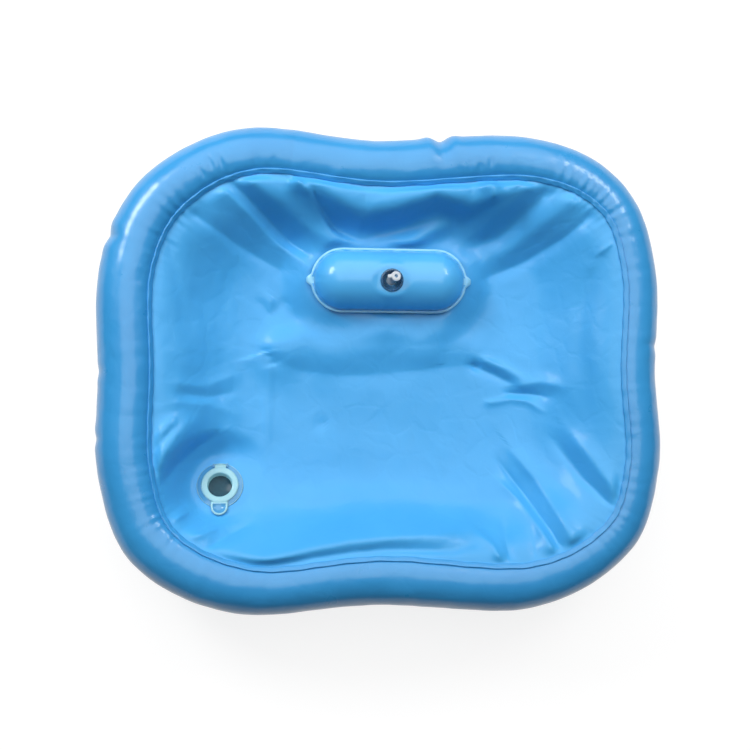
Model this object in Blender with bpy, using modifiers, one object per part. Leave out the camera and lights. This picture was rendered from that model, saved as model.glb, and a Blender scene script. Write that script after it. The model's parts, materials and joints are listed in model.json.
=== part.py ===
"""Inflatable hair washing basin: two stacked air rings, a hung liner with its drain, and a head pillow.

Metres, +Z up, +X along the basin's length, +Y towards the neck side. The origin is at floor level,
in the middle of the rings.
"""

import math

import bmesh
import bpy
import numpy as np
from mathutils import Matrix, Vector

# Clearances between pieces that touch, overrun of cutters, and the distance that joins loose points
gap = 0.0003
overrun = 0.004
weld_distance = 0.00001

# The two air rings, outside sizes
ring_length = 0.610
ring_width = 0.518
tube_radius = 0.032
tube_film = 0.0005
joint_strip_width = 0.016
joint_strip_thickness = 0.0010

# Centreline of the rings in plan, anticlockwise from the right, as shares of its half length and width
plan_shares = [
    (0.98, -0.01), (0.99, 0.47), (0.88, 0.82), (0.56, 0.99),
    (-0.04, 0.95), (-0.54, 0.99), (-0.85, 0.80), (-0.99, 0.46),
    (-0.99, -0.01), (-0.985, -0.47), (-0.87, -0.81), (-0.54, -0.99),
    (-0.04, -0.955), (0.54, -0.99), (0.88, -0.79), (0.99, -0.46),
]
steps_per_span = 3

# The weld that holds the liner: its angle from the tube's crest, and how far the ring has rolled
seam_angle = math.radians(37)
seam_roll = math.radians(15)
seam_roll_direction = math.radians(172)
rim_strip_width = 0.0055
rim_strip_thickness = 0.0010

# The liner: its depth under the weld, and its fall from the weld (0) to the middle (1)
liner_film = 0.0005
liner_depth = 0.062
liner_in_shares = [0.04, 0.08, 0.125, 0.175, 0.23, 0.30, 0.40, 0.53, 0.70, 1.0]
liner_fall_shares = [0.08, 0.24, 0.45, 0.63, 0.77, 0.87, 0.94, 0.98, 1.0, 1.0]

# Main folds of the liner: each runs between two places, given as shares of the ring's half length
# and half width, with its half width and its height in metres
fold_places_shares = [
    ((-0.62, 0.74), (-0.25, 0.45)), ((-0.66, 0.66), (-0.30, 0.33)), ((-0.72, 0.62), (-0.40, 0.38)),
    ((0.28, 0.70), (0.40, 0.52)), ((0.33, 0.42), (0.74, 0.72)), ((0.30, 0.55), (0.66, 0.78)),
    ((-0.40, 0.14), (0.36, 0.12)), ((0.46, -0.36), (0.68, -0.74)), ((0.40, -0.48), (0.60, -0.80)),
    ((0.62, -0.22), (0.80, -0.56)), ((-0.78, -0.60), (-0.52, -0.26)), ((-0.50, -0.74), (0.26, -0.66)),
]
fold_half_widths = [0.013, 0.012, 0.012, 0.012, 0.014, 0.012, 0.018, 0.012, 0.012, 0.012, 0.013, 0.015]
fold_heights = [-0.006, 0.005, -0.006, 0.006, -0.006, 0.006, 0.005, -0.005, 0.005, -0.006, -0.005, 0.006]
fold_fade = 0.7
fold_start_share = 0.15

# The head pillow, without its weld flange
pillow_length = 0.166
pillow_width = 0.064
pillow_crown = 0.028
pillow_base_drop = 0.008
pillow_film = 0.0005
pillow_flange_width = 0.0035
pillow_tab_length = 0.0055
pillow_place_shares = (0.024, 0.385)
pillow_lift = 0.013
pillow_tilt = math.radians(7)
pillow_top_in_shares = [1.0, 0.94, 0.82, 0.66]
pillow_base_in_shares = [1.0, 0.90, 0.72]
pillow_base_fall_shares = [0, 0.6, 1.0, 1.0, 1.0]
seat_margin = 0.0010
seat_blend = 0.030

# The inflation valves
valve_flange_radius = 0.0125
valve_flange_thickness = 0.0010
well_radius = 0.0102
well_depth = 0.0060
well_wall = 0.0009
well_bore_radius = 0.0053
stem_radius = 0.0045
stem_bore_radius = 0.0033
stem_lip_radius = 0.0053
stem_lip_thickness = 0.0010
stem_foot_radius = 0.0060
stem_foot_thickness = 0.0010
stem_travel = 0.010
cap_radius = 0.0053
cap_thickness = 0.0016
cap_dimple_radius = 0.0022
cap_dimple_depth = 0.0006
plug_radius = 0.0030
plug_tip_radius = 0.0025
plug_length = 0.0040
strap_reach = 0.0080
strap_width = 0.0034
strap_thickness = 0.0010
strap_roll_radius = 0.0008
ear_thickness = 0.0010
flap_radius = 0.0042
flap_thickness = 0.0006
pillow_stem_lean = math.radians(18)
pillow_stem_lean_direction = math.radians(52)
upper_valve_angle = math.radians(240)
lower_valve_angle = math.radians(270)
upper_valve_place_share = 0.945
lower_valve_place_share = 0.030

# The drain, round its own axis from the liner's surface
drain_place_shares = (-0.576, -0.485)
drain_lift = 0.011
drain_tilt = math.radians(20)
drain_flange_radius = 0.0250
drain_flange_thickness = 0.0012
drain_bore_radius = 0.0156
drain_neck_wall = 0.0014
drain_neck_depth = 0.0083
drain_ear_height = 0.0024
drain_ear_width = 0.0020
drain_plug_radius = 0.0200
drain_plug_thickness = 0.0016
drain_well_radius = 0.0134
drain_well_depth = 0.0092
drain_well_wall = 0.0012
drain_plug_top_radius = 0.0150
drain_plug_tip_radius = 0.0140
drain_hinge_reach = 0.0230
drain_hinge_length = 0.0120
drain_hinge_radius = 0.0009
drain_tab_reach = 0.0335
drain_tab_width = 0.0180
drain_flat_radius = 0.0335
drain_backing_radius = 0.0255
drain_backing_thickness = 0.0010
spigot_sleeve_wall = 0.0016
spigot_radius = 0.0095
spigot_bore_radius = 0.0075
spigot_length = 0.0200
spigot_shoulder = 0.0050
spigot_barb_height = 0.0010
spigot_barb_pitch = 0.0060

# Smoothness of the round pieces
sharp_angle = math.radians(40)
valve_sides = 18
drain_sides = 28
roll_sides = 10
tab_steps = 8
end_steps = 6

# Heights that follow from the sizes above
flat_angle = math.asin(joint_strip_width / 2 / tube_radius)
lower_tube_height = tube_radius * math.cos(flat_angle)
joint_strip_base = 2 * lower_tube_height + gap
upper_tube_height = joint_strip_base + joint_strip_thickness + gap + lower_tube_height
floor_height = upper_tube_height + tube_radius * math.cos(seam_angle) - liner_depth

right_angle = math.radians(90)
full_turn = math.radians(360)


def clear_scene():
    for obj in list(bpy.data.objects):
        bpy.data.objects.remove(obj, do_unlink=True)


def new_collection(name):
    collection = bpy.data.collections.new(name)
    bpy.context.scene.collection.children.link(collection)
    return collection


def plastic(name, colour, roughness):
    """A soft PVC finish of its own for one piece."""
    material = bpy.data.materials.new(name)
    material.use_nodes = True
    shader = material.node_tree.nodes["Principled BSDF"]
    shader.inputs["Base Color"].default_value = colour
    shader.inputs["Roughness"].default_value = roughness
    shader.inputs["Metallic"].default_value = 0
    return material


film_blue = (0.10, 0.42, 0.80, 1)
weld_blue = (0.07, 0.33, 0.66, 1)
clear_pvc = (0.75, 0.86, 0.92, 1)
aqua_pvc = (0.42, 0.74, 0.76, 1)
film_roughness = 0.28
fitting_roughness = 0.18


def place(name, mesh, colour, roughness, parent=None, location=(0, 0, 0)):
    """One named piece in the basin's collection."""
    obj = bpy.data.objects.new(name, mesh)
    mesh.materials.append(plastic(name, colour, roughness))
    obj.parent = parent
    obj.location = location
    basin.objects.link(obj)
    return obj


def helper(name, mesh, parent=None, location=(0, 0, 0)):
    """A cutter, or a shape that a Boolean joins to a piece."""
    obj = bpy.data.objects.new(name, mesh)
    obj.parent = parent
    obj.location = location
    obj.hide_render = True
    obj.display_type = "WIRE"
    cutters.objects.link(obj)
    return obj


def seat(name, matrix, parent=None):
    """An empty that carries the pieces seated there."""
    empty = bpy.data.objects.new(name, None)
    empty.parent = parent
    empty.matrix_local = matrix
    basin.objects.link(empty)
    return empty


def combine(obj, tool, operation):
    modifier = obj.modifiers.new(tool.name, "BOOLEAN")
    modifier.operation = operation
    modifier.object = tool


def facet(obj):
    """Splits a sheet's bent quads along their shorter diagonals."""
    modifier = obj.modifiers.new("facets", "TRIANGULATE")
    modifier.quad_method = "SHORTEST_DIAGONAL"


def thicken(obj, film):
    """Gives a surface its wall, on the inner side."""
    modifier = obj.modifiers.new("film", "SOLIDIFY")
    modifier.thickness = film
    modifier.offset = -1
    modifier.use_even_offset = True


def finished_mesh(name, bm):
    bmesh.ops.remove_doubles(bm, verts=bm.verts, dist=weld_distance)
    mesh = bpy.data.meshes.new(name)
    bm.to_mesh(mesh)
    bm.free()
    mesh.shade_smooth()
    mesh.set_sharp_from_angle(angle=sharp_angle)
    return mesh


def loft(name, rows, close_rows):
    """A skin over rows of points. The rows close on each other, and each row on itself if close_rows."""
    bm = bmesh.new()
    grid = [[bm.verts.new(point) for point in row] for row in rows]
    for row, after in zip(grid, grid[1:] + grid[:1]):
        across = list(zip(after, after[1:] + after[:1], row[1:] + row[:1], row))
        for corners in across if close_rows else across[:-1]:
            bm.faces.new(corners)
    if close_rows:
        bmesh.ops.recalc_face_normals(bm, faces=bm.faces)
    return finished_mesh(name, bm)


def turned(name, profile, sides, colour, parent, location=(0, 0, 0)):
    """A piece turned about its own Z from a profile that runs down its outer side."""
    bm = bmesh.new()
    corners = [bm.verts.new((radius, 0, height)) for radius, height in profile]
    for corner, after in zip(corners, corners[1:]):
        bm.edges.new((corner, after))
    if profile[0][0] > 0:
        bm.edges.new((corners[-1], corners[0]))
    mesh = bpy.data.meshes.new(name)
    bm.to_mesh(mesh)
    bm.free()
    obj = place(name, mesh, colour, fitting_roughness, parent, location)
    modifier = obj.modifiers.new("turn", "SCREW")
    modifier.steps = modifier.render_steps = sides
    modifier.use_merge_vertices = True
    modifier.merge_threshold = weld_distance
    modifier.use_smooth_shade = True
    return obj


def box(name, size, centre, parent):
    """The helper shape of a block."""
    bm = bmesh.new()
    bmesh.ops.create_cube(bm, size=1)
    bmesh.ops.scale(bm, vec=size, verts=bm.verts)
    return helper(name, finished_mesh(name, bm), parent, centre)


def rod(name, radius, length, sides, turn=Matrix()):
    """The mesh of a round rod about the origin, along Z before the turn."""
    bm = bmesh.new()
    bmesh.ops.create_cone(bm, cap_ends=True, segments=sides, radius1=radius, radius2=radius, depth=length)
    bmesh.ops.transform(bm, matrix=turn, verts=bm.verts)
    return finished_mesh(name, bm)


def closed_spline(points, steps):
    """A smooth closed curve through the points, with that many steps from each to the next."""
    points = np.array(points)
    before, after, beyond = (np.roll(points, shift, 0) for shift in (1, -1, -2))
    spans = []
    for t in np.arange(steps) / steps:
        straight = 2 * points + (after - before) * t
        bend = (2 * before - 5 * points + 4 * after - beyond) * t**2
        twist = (3 * points - before - 3 * after + beyond) * t**3
        spans.append((straight + bend + twist) / 2)
    return np.stack(spans, 1).reshape(-1, points.shape[1])


def ring_stations():
    """Plan points along the rings' centreline, and the outward normal at each."""
    half_sides = np.array([ring_length, ring_width]) / 2 - tube_radius
    line = closed_spline(plan_shares, steps_per_span)
    low, high = line.min(0), line.max(0)
    line = (2 * line - low - high) / (high - low) * half_sides
    along = np.roll(line, -1, 0) - np.roll(line, 1, 0)
    along /= np.linalg.norm(along, axis=1, keepdims=True)
    return line, np.stack([along[:, 1], -along[:, 0]], 1)


def around_tube(angles, radii, height):
    """Points on each station's tube section, at angles from its crest towards the basin's inside."""
    angles, radii = np.broadcast_arrays(angles, radii)
    inward = (radii * np.sin(angles))[..., None]
    plan = stations[:, None] - normals[:, None] * inward
    return np.concatenate([plan, (height + radii * np.cos(angles))[..., None]], -1)


def spread(breaks, counts):
    """Angles for every station: each gap between two breaks is split into that many steps."""
    breaks = [np.broadcast_to(value, len(stations)) for value in breaks]
    columns = []
    for start, end, count in zip(breaks, breaks[1:], counts):
        columns += [start + (end - start) * step / count for step in range(count)]
    return np.stack(columns, 1)


def mitred(radius, half_angle):
    """The radius at the corners of a flat that is to touch a circle of this radius."""
    return radius / math.cos(half_angle)


def span_ends(place_share):
    """The two stations between which a valve sits, from its place as a share of the way round."""
    start = int(place_share * len(stations))
    return [start, (start + 1) % len(stations)]


def valve_frame(height, angle, place_share):
    """The seat of a valve on a tube: on the flat, with Z outwards and X along the ring."""
    flat_radius = tube_radius * math.cos(valve_flat_angle)
    seat_line = around_tube(np.full((len(stations), 1), angle), flat_radius, height)[:, 0]
    start, end = (Vector(seat_line[station]) for station in span_ends(place_share))
    up = Vector((0, 0, 1))
    forward = (end - start).normalized()
    axis = -math.sin(angle) * forward.cross(up) + math.cos(angle) * up
    turn = Matrix((forward, axis.cross(forward), axis)).transposed()
    return Matrix.Translation((start + end) / 2) @ turn.to_4x4()


def flattened(angles, valve_angle, place_share):
    """The tube's radius at each point, drawn in to a flat where its valve sits."""
    radii = np.full(angles.shape, tube_radius)
    ends = span_ends(place_share)
    at_valve = np.isclose(angles[ends], valve_angle)
    radii[ends] = np.where(at_valve, tube_radius * math.cos(valve_flat_angle), tube_radius)
    return radii


def air_tube(name, angles, height, valve_angle, place_share):
    """One ring: an airtight film skin, flat where it is welded, and open at its valve."""
    points = around_tube(angles, flattened(angles, valve_angle, place_share), height)
    tube = place(name, loft(name, points.tolist(), True), film_blue, film_roughness)
    thicken(tube, tube_film)
    return tube


def around_strip(name, corners, colour):
    """A strip that runs right round the ring, from the corners of its section at each station."""
    return place(name, loft(name, corners.tolist(), True), colour, film_roughness)


def make_rings():
    """The two air rings, the strip that welds them together, and the strip that holds the liner."""
    inner_equator, base, outer_equator = right_angle, 2 * right_angle, 3 * right_angle
    upper = spread(
        [0, seam_angles, inner_equator, base - flat_angle, base + flat_angle,
         upper_valve_angle - valve_flat_angle, upper_valve_angle,
         upper_valve_angle + valve_flat_angle, full_turn],
        [2, 2, 3, 1, 1, 1, 1, 4],
    )
    lower = spread(
        [flat_angle, inner_equator, base - flat_angle, base + flat_angle,
         lower_valve_angle - valve_flat_angle, outer_equator,
         lower_valve_angle + valve_flat_angle, full_turn - flat_angle, full_turn + flat_angle],
        [3, 3, 1, 2, 1, 1, 2, 1],
    )
    upper_tube = air_tube(
        "upper_tube", upper, upper_tube_height, upper_valve_angle, upper_valve_place_share,
    )
    lower_tube = air_tube(
        "lower_tube", lower, lower_tube_height, lower_valve_angle, lower_valve_place_share,
    )

    half = joint_strip_width / 2
    section = [(-half, 0), (half, 0), (half, joint_strip_thickness), (-half, joint_strip_thickness)]
    corners = [
        np.column_stack([stations + normals * out, np.full(len(stations), joint_strip_base + rise)])
        for out, rise in section
    ]
    around_strip("tube_joint_strip", np.stack(corners, 1), weld_blue)

    under = liner_edge_radius + gap
    rims = [(-1, under), (1, under), (1, under + rim_strip_thickness), (-1, under + rim_strip_thickness)]
    corners = [
        around_tube(seam_angles[:, None] + side * rim_half_angle, radius, upper_tube_height)[:, 0]
        for side, radius in rims
    ]
    around_strip("rim_weld_strip", np.stack(corners, 1), weld_blue)
    return upper_tube, lower_tube


def stadium(out, half_straight, half_seat, tab=0):
    """Points anticlockwise round a shape with straight sides and round ends, `out` from its middle line."""
    straight = [half_straight, (half_straight + half_seat) / 2, half_seat, 0]
    straight += [-x for x in straight[-2::-1]]
    turns = right_angle * np.arange(1, end_steps) * 2 / end_steps
    tabs = np.where(np.isclose(turns, right_angle), tab, 0)
    left = [
        (-half_straight - (out + more) * math.sin(turn), out * math.cos(turn))
        for turn, more in zip(turns, tabs)
    ]
    upper = [(x, out) for x in straight] + left
    return upper + [(-x, -y) for x, y in upper]


def pillow_skin(name, in_shares, heights, seat_height, top):
    """One film of the pillow: its weld flange, then rings that close on its middle line."""
    half_width = pillow_width / 2
    half_straight = pillow_length / 2 - half_width
    half_seat = valve_flange_radius + seat_margin
    side = 1 if top else -1
    flange = half_width + pillow_flange_width
    weld = pillow_film + gap / 2
    rows = [[(x, y, side * weld) for x, y in stadium(flange, half_straight, half_seat, pillow_tab_length)]]
    for share, height in zip([*in_shares, half_seat / half_width, 0], heights):
        ring = stadium(half_width * share, half_straight, half_seat)
        flat = [top and max(abs(x), abs(y)) < half_seat + gap for x, y in ring]
        rows.append([
            (x, y, side * (weld + (seat_height if on_flat else height)))
            for (x, y), on_flat in zip(ring, flat)
        ])
    rows = [list(row) for row in zip(*rows)]
    if not top:
        rows = rows[::-1]
    skin = place(name, loft(name, rows, False), film_blue, film_roughness, pillow_seat)
    skin.location = (0, 0, pillow_base_drop + weld + gap)
    thicken(skin, pillow_film)
    return skin


def make_pillow():
    """The pillow's two films, welded to each other at their flanges. Returns the valve's seat height."""
    half_width = pillow_width / 2
    seat_share = (valve_flange_radius + seat_margin) / half_width
    top_shares = [*pillow_top_in_shares, seat_share, 0]
    heights = [pillow_crown * math.sqrt(1 - share**2) for share in top_shares]
    seat_height = heights[-2]
    top = pillow_skin("pillow_top", pillow_top_in_shares, heights, seat_height, True)
    base_heights = [pillow_base_drop * fall for fall in pillow_base_fall_shares]
    pillow_skin("pillow_base", pillow_base_in_shares, base_heights, 0, False)
    return top, Matrix.Translation(top.location + Vector((0, 0, seat_height + pillow_film + gap / 2)))


def make_valve(name, matrix, parent, skin, lean, lean_direction, out):
    """An inflation valve: flange and well on the film, and the stem with its check flap and cap."""
    valve_seat = seat(name + "_seat", matrix, parent)
    rim = gap + valve_flange_thickness
    well_outer = well_radius + well_wall
    floor = -well_depth - well_wall
    turned(
        name + "_flange",
        [(valve_flange_radius, rim), (valve_flange_radius, gap), (well_outer, gap), (well_outer, floor),
         (well_bore_radius, floor), (well_bore_radius, -well_depth), (well_radius, -well_depth),
         (well_radius, rim)],
        valve_sides, clear_pvc, valve_seat,
    )
    cut = rod(name + "_hole", well_outer + gap, 2 * overrun, valve_sides)
    combine(skin, helper(name + "_hole", cut, valve_seat), "DIFFERENCE")

    stowed_top = rim - cap_thickness - gap
    foot_top = floor - gap - stem_foot_radius * math.tan(lean) - stem_travel
    stem_top = stowed_top + out
    foot_top += out
    leaning = Matrix.Rotation(lean, 4, Vector((-math.sin(lean_direction), math.cos(lean_direction), 0)))
    pivot = Matrix.Translation((0, 0, floor + well_wall / 2))
    axis = seat(name + "_axis", pivot @ leaning @ pivot.inverted(), valve_seat)
    stem = turned(
        name + "_stem",
        [(stem_lip_radius, stem_top), (stem_lip_radius, stem_top - stem_lip_thickness),
         (stem_radius, stem_top - stem_lip_thickness), (stem_radius, foot_top),
         (stem_foot_radius, foot_top), (stem_foot_radius, foot_top - stem_foot_thickness),
         (stem_bore_radius, foot_top - stem_foot_thickness), (stem_bore_radius, stem_top)],
        valve_sides, clear_pvc, axis,
    )
    roll_height = stem_top - gap
    ear_top = roll_height - strap_roll_radius - gap
    ear_end = strap_reach + strap_roll_radius / 2
    ear_start = (stem_radius + stem_bore_radius) / 2
    ear = box(
        name + "_ear", (ear_end - ear_start, strap_width, ear_thickness),
        (-(ear_end + ear_start) / 2, 0, ear_top - ear_thickness / 2), axis,
    )
    combine(stem, ear, "UNION")

    hinge_point = Vector((-strap_reach, 0, roll_height))
    hinge = seat(name + "_cap_hinge", Matrix.Translation(hinge_point), axis)
    cap_base = stem_top + gap
    cap_top = cap_base + cap_thickness
    dimple = cap_top - cap_dimple_depth
    cap = turned(
        name + "_cap",
        [(0, dimple), (cap_dimple_radius - cap_dimple_depth, dimple), (cap_dimple_radius, cap_top),
         (cap_radius, cap_top), (cap_radius, cap_base), (plug_radius, cap_base),
         (plug_tip_radius, stem_top - plug_length), (0, stem_top - plug_length)],
        valve_sides, clear_pvc, hinge, -hinge_point,
    )
    strap_end = cap_radius - cap_thickness / 2
    strap = box(
        name + "_strap", (strap_reach - strap_end, strap_width, strap_thickness),
        ((strap_reach - strap_end) / 2, 0, cap_base + strap_thickness / 2 - roll_height), hinge,
    )
    across = Matrix.Rotation(right_angle, 4, "X")
    roll = rod(name + "_strap_roll", strap_roll_radius, strap_width, roll_sides, across)
    combine(cap, strap, "UNION")
    combine(cap, helper(name + "_strap_roll", roll, hinge), "UNION")

    flap_height = foot_top - stem_foot_thickness - gap - flap_thickness / 2
    flap_hinge = seat(name + "_flap_hinge", Matrix.Translation((flap_radius, 0, flap_height)), axis)
    flap = rod(name + "_flap", flap_radius, flap_thickness, valve_sides)
    place(name + "_flap", flap, clear_pvc, fitting_roughness, flap_hinge, (-flap_radius, 0, 0))


def smooth_step(share):
    share = np.clip(share, 0, 1)
    return share * share * (3 - 2 * share)


def lie_flat(points, frame, half_straight, reach):
    """Draws the sheet on to the plane of a seat, out to a distance from the seat's middle line."""
    origin, tilt = np.array(frame.translation), np.array(frame.to_3x3().col[2])
    away = points - origin
    plane = origin[2] - (away[..., 0] * tilt[0] + away[..., 1] * tilt[1]) / tilt[2]
    across = np.maximum(np.abs(away[..., 0]) - half_straight, 0)
    beyond = (np.hypot(across, away[..., 1]) - reach) / seat_blend
    weight = 1 - smooth_step(beyond)
    points[..., 2] += (plane - points[..., 2]) * weight
    return 1 - weight


def fold_rise(points):
    """The height that the folds add at each plan point."""
    half_sides = np.array([ring_length, ring_width]) / 2
    rise = np.zeros(points.shape[:-1])
    for ends, half_width, height in zip(fold_places_shares, fold_half_widths, fold_heights):
        start, end = np.array(ends) * half_sides
        along = end - start
        away = points[..., :2] - start
        share = np.clip(away @ along / (along @ along), 0, 1)
        aside = np.linalg.norm(away - share[..., None] * along, axis=-1)
        fade = np.sin(np.pi * share) ** fold_fade
        rise += height * fade * np.exp(-((aside / half_width) ** 2))
    return rise


def make_liner():
    """The sheet: its edge lies on the tube under the weld strip, and it hangs from there as a bowl."""
    edge = [
        around_tube(seam_angles[:, None] + side * rim_half_angle, liner_edge_radius, upper_tube_height)[:, 0]
        for side in (-1, 1)
    ]
    rim = edge[1]
    rows = []
    for inward, fall in zip(liner_in_shares, liner_fall_shares):
        row = rim * (1 - inward)
        row[:, 2] = rim[:, 2] + (floor_height - rim[:, 2]) * fall
        rows.append(row)
    sheet = np.stack(rows, 1)
    half_width = pillow_width / 2
    pillow_flat = (pillow_frame, pillow_length / 2 - half_width, half_width + pillow_flange_width)
    free = lie_flat(sheet, *pillow_flat) * lie_flat(sheet, drain_frame, 0, drain_flat_radius)
    free *= smooth_step(np.array(liner_in_shares) / fold_start_share)
    sheet[..., 2] += fold_rise(sheet) * free
    sheet[:, -1, 2] = sheet[:, -1, 2].mean()
    sheet = np.concatenate([np.stack(edge, 1), sheet], 1)
    liner = place("basin_liner", loft("basin_liner", sheet.tolist(), False), film_blue, film_roughness)
    facet(liner)
    thicken(liner, liner_film)
    hole = rod("drain_hole", drain_bore_radius + drain_neck_wall + gap, 2 * overrun, drain_sides)
    combine(liner, helper("drain_hole", hole, drain_seat), "DIFFERENCE")


def make_drain():
    """The drain: flange and neck through the liner, backing ring, spigot, and the plug on its strap."""
    top = gap + drain_flange_thickness
    neck = drain_bore_radius + drain_neck_wall
    flange = turned(
        "drain_flange",
        [(drain_flange_radius, top), (drain_flange_radius, gap), (neck, gap),
         (neck, -drain_neck_depth), (drain_bore_radius, -drain_neck_depth), (drain_bore_radius, top)],
        drain_sides, aqua_pvc, drain_seat,
    )
    ear_out = (drain_hinge_length + drain_ear_width) / 2 + gap
    ear_size = (drain_ear_width, 2 * (drain_flange_radius - drain_hinge_reach), drain_ear_height)
    ear_middle = top + drain_ear_height / 2 - drain_flange_thickness / 2
    for side, name in ((-1, "drain_ear_left"), (1, "drain_ear_right")):
        ear_centre = (side * ear_out, drain_hinge_reach - drain_hinge_radius, ear_middle)
        combine(flange, box(name, ear_size, ear_centre, drain_seat), "UNION")

    under = -liner_film - gap
    turned(
        "drain_backing_ring",
        [(drain_backing_radius, under), (drain_backing_radius, under - drain_backing_thickness),
         (neck + gap, under - drain_backing_thickness), (neck + gap, under)],
        drain_sides, weld_blue, drain_seat,
    )

    sleeve_top = under - drain_backing_thickness - gap
    sleeve_in, sleeve_out = neck + gap, neck + gap + spigot_sleeve_wall
    shoulder = -drain_neck_depth - gap
    root = shoulder - spigot_shoulder
    outside = [(sleeve_out, sleeve_top), (sleeve_out, shoulder), (spigot_radius, root)]
    tip = root - spigot_length
    barb = root - spigot_barb_pitch
    while barb - spigot_barb_pitch > tip:
        outside += [(spigot_radius, barb), (spigot_radius + spigot_barb_height, barb)]
        outside.append((spigot_radius, barb - spigot_barb_pitch / 2))
        barb -= spigot_barb_pitch
    outside.append((spigot_radius, tip))
    inside = [(spigot_bore_radius, tip), (spigot_bore_radius, root), (sleeve_in, shoulder)]
    turned("drain_spigot", outside + inside + [(sleeve_in, sleeve_top)], drain_sides, aqua_pvc, drain_seat)

    rim_base = top + gap
    rim_top = rim_base + drain_plug_thickness
    well_floor = rim_top - drain_well_depth
    plug_base = well_floor - drain_well_wall
    hinge_point = Vector((0, drain_hinge_reach, rim_base + drain_hinge_radius))
    hinge = seat("drain_plug_hinge", Matrix.Translation(hinge_point), drain_seat)
    plug = turned(
        "drain_plug",
        [(0, well_floor), (drain_plug_tip_radius - drain_well_wall, well_floor),
         (drain_well_radius, rim_top), (drain_plug_radius, rim_top), (drain_plug_radius, rim_base),
         (drain_plug_top_radius, rim_base), (drain_plug_tip_radius, plug_base), (0, plug_base)],
        drain_sides, aqua_pvc, hinge, -hinge_point,
    )
    middle = (rim_base + rim_top) / 2 - hinge_point.z
    strap_start = drain_plug_radius - drain_plug_thickness
    strap_size = (drain_hinge_length, drain_hinge_reach - strap_start, drain_hinge_radius)
    strap = box("drain_strap", strap_size, (0, (strap_start - drain_hinge_reach) / 2, middle), hinge)
    combine(plug, strap, "UNION")
    roll = rod(
        "drain_strap_roll", drain_hinge_radius, drain_hinge_length, roll_sides,
        Matrix.Rotation(right_angle, 4, "Y"),
    )
    combine(plug, helper("drain_strap_roll", roll, hinge), "UNION")
    combine(plug, helper("drain_tab", tab_mesh(drain_plug_thickness), hinge, -hinge_point + Vector(
        (0, 0, rim_base))), "UNION")


def tab_mesh(thickness):
    """The pull tab: a tongue with a round end, from the plug's rim outwards."""
    half = drain_tab_width / 2
    root = drain_plug_radius - thickness
    bm = bmesh.new()
    turns = np.linspace(0, 2 * right_angle, tab_steps + 1)
    centre = drain_tab_reach - half
    outline = [(half * math.cos(turn), -centre - half * math.sin(turn)) for turn in turns[::-1]]
    outline = [(-half, -root), *outline, (half, -root)]
    face = bm.faces.new([bm.verts.new((x, y, 0)) for x, y in outline])
    raised = bmesh.ops.extrude_face_region(bm, geom=[face])["geom"]
    corners = [item for item in raised if isinstance(item, bmesh.types.BMVert)]
    bmesh.ops.translate(bm, vec=(0, 0, thickness), verts=corners)
    bmesh.ops.recalc_face_normals(bm, faces=bm.faces)
    return finished_mesh("drain_tab", bm)


clear_scene()
basin = new_collection("portable_shampoo_basin")
cutters = new_collection("cutters")

stations, normals = ring_stations()
headings = np.arctan2(normals[:, 1], normals[:, 0])
seam_angles = seam_angle + seam_roll * np.cos(headings - seam_roll_direction)
valve_flat_angle = math.asin((valve_flange_radius + seat_margin) / tube_radius)
rim_half_angle = rim_strip_width / 2 / tube_radius
liner_edge_radius = mitred(tube_radius + gap, rim_half_angle) + liner_film


def floor_frame(place_shares, lift, turn):
    """The seat of a piece on the liner, tilted about the basin's length."""
    x, y = (share * side / 2 for share, side in zip(place_shares, (ring_length, ring_width)))
    return Matrix.Translation((x, y, floor_height + lift)) @ Matrix.Rotation(turn, 4, "X")


pillow_frame = floor_frame(pillow_place_shares, pillow_lift, pillow_tilt)
drain_frame = floor_frame(drain_place_shares, drain_lift, -drain_tilt)
pillow_seat = seat("pillow_seat", pillow_frame)
drain_seat = seat("drain_seat", drain_frame)

upper_tube, lower_tube = make_rings()
make_liner()
pillow_top, pillow_valve = make_pillow()
make_drain()
make_valve("pillow_valve", pillow_valve, pillow_seat, pillow_top, pillow_stem_lean,
           pillow_stem_lean_direction, stem_travel)
make_valve("upper_valve", valve_frame(upper_tube_height, upper_valve_angle, upper_valve_place_share),
           None, upper_tube, 0, 0, 0)
make_valve("lower_valve", valve_frame(lower_tube_height, lower_valve_angle, lower_valve_place_share),
           None, lower_tube, 0, 0, 0)
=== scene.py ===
# Portable shampoo basin: two stacked air rings, a hung liner with its drain, and a small head pillow.
# Everything is soft PVC. The sections follow the order in which the basin is put together.
import json
import math

import bmesh
import bpy
import numpy as np
from mathutils import Matrix, Vector


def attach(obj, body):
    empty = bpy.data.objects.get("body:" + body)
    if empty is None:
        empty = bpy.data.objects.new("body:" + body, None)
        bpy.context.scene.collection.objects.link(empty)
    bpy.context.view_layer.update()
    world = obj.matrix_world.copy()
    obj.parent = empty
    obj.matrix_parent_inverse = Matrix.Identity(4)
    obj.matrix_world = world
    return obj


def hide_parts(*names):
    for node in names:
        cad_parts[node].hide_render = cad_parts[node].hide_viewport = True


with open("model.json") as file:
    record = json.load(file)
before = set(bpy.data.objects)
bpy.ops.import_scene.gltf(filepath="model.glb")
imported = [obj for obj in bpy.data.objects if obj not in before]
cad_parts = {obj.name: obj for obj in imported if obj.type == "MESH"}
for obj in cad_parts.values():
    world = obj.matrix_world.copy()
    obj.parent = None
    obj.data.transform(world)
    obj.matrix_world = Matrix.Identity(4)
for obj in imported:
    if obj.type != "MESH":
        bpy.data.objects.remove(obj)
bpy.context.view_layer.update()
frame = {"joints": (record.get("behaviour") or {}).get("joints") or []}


# The studio
# A white floor under a wide soft box. A soft key light and a weaker one stand beyond the neck side,
# and give the long highlights on the ring's two far corners.
camera_place = Vector((-0.121, -0.0676, 1.167))
camera_target = Vector((-0.0083, -0.002, 0.095))
floor_size = 12.0
floor_gap = 0.0003
floor_glow = 0.82
lamp_target = Vector((0, 0, 0.06))


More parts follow.
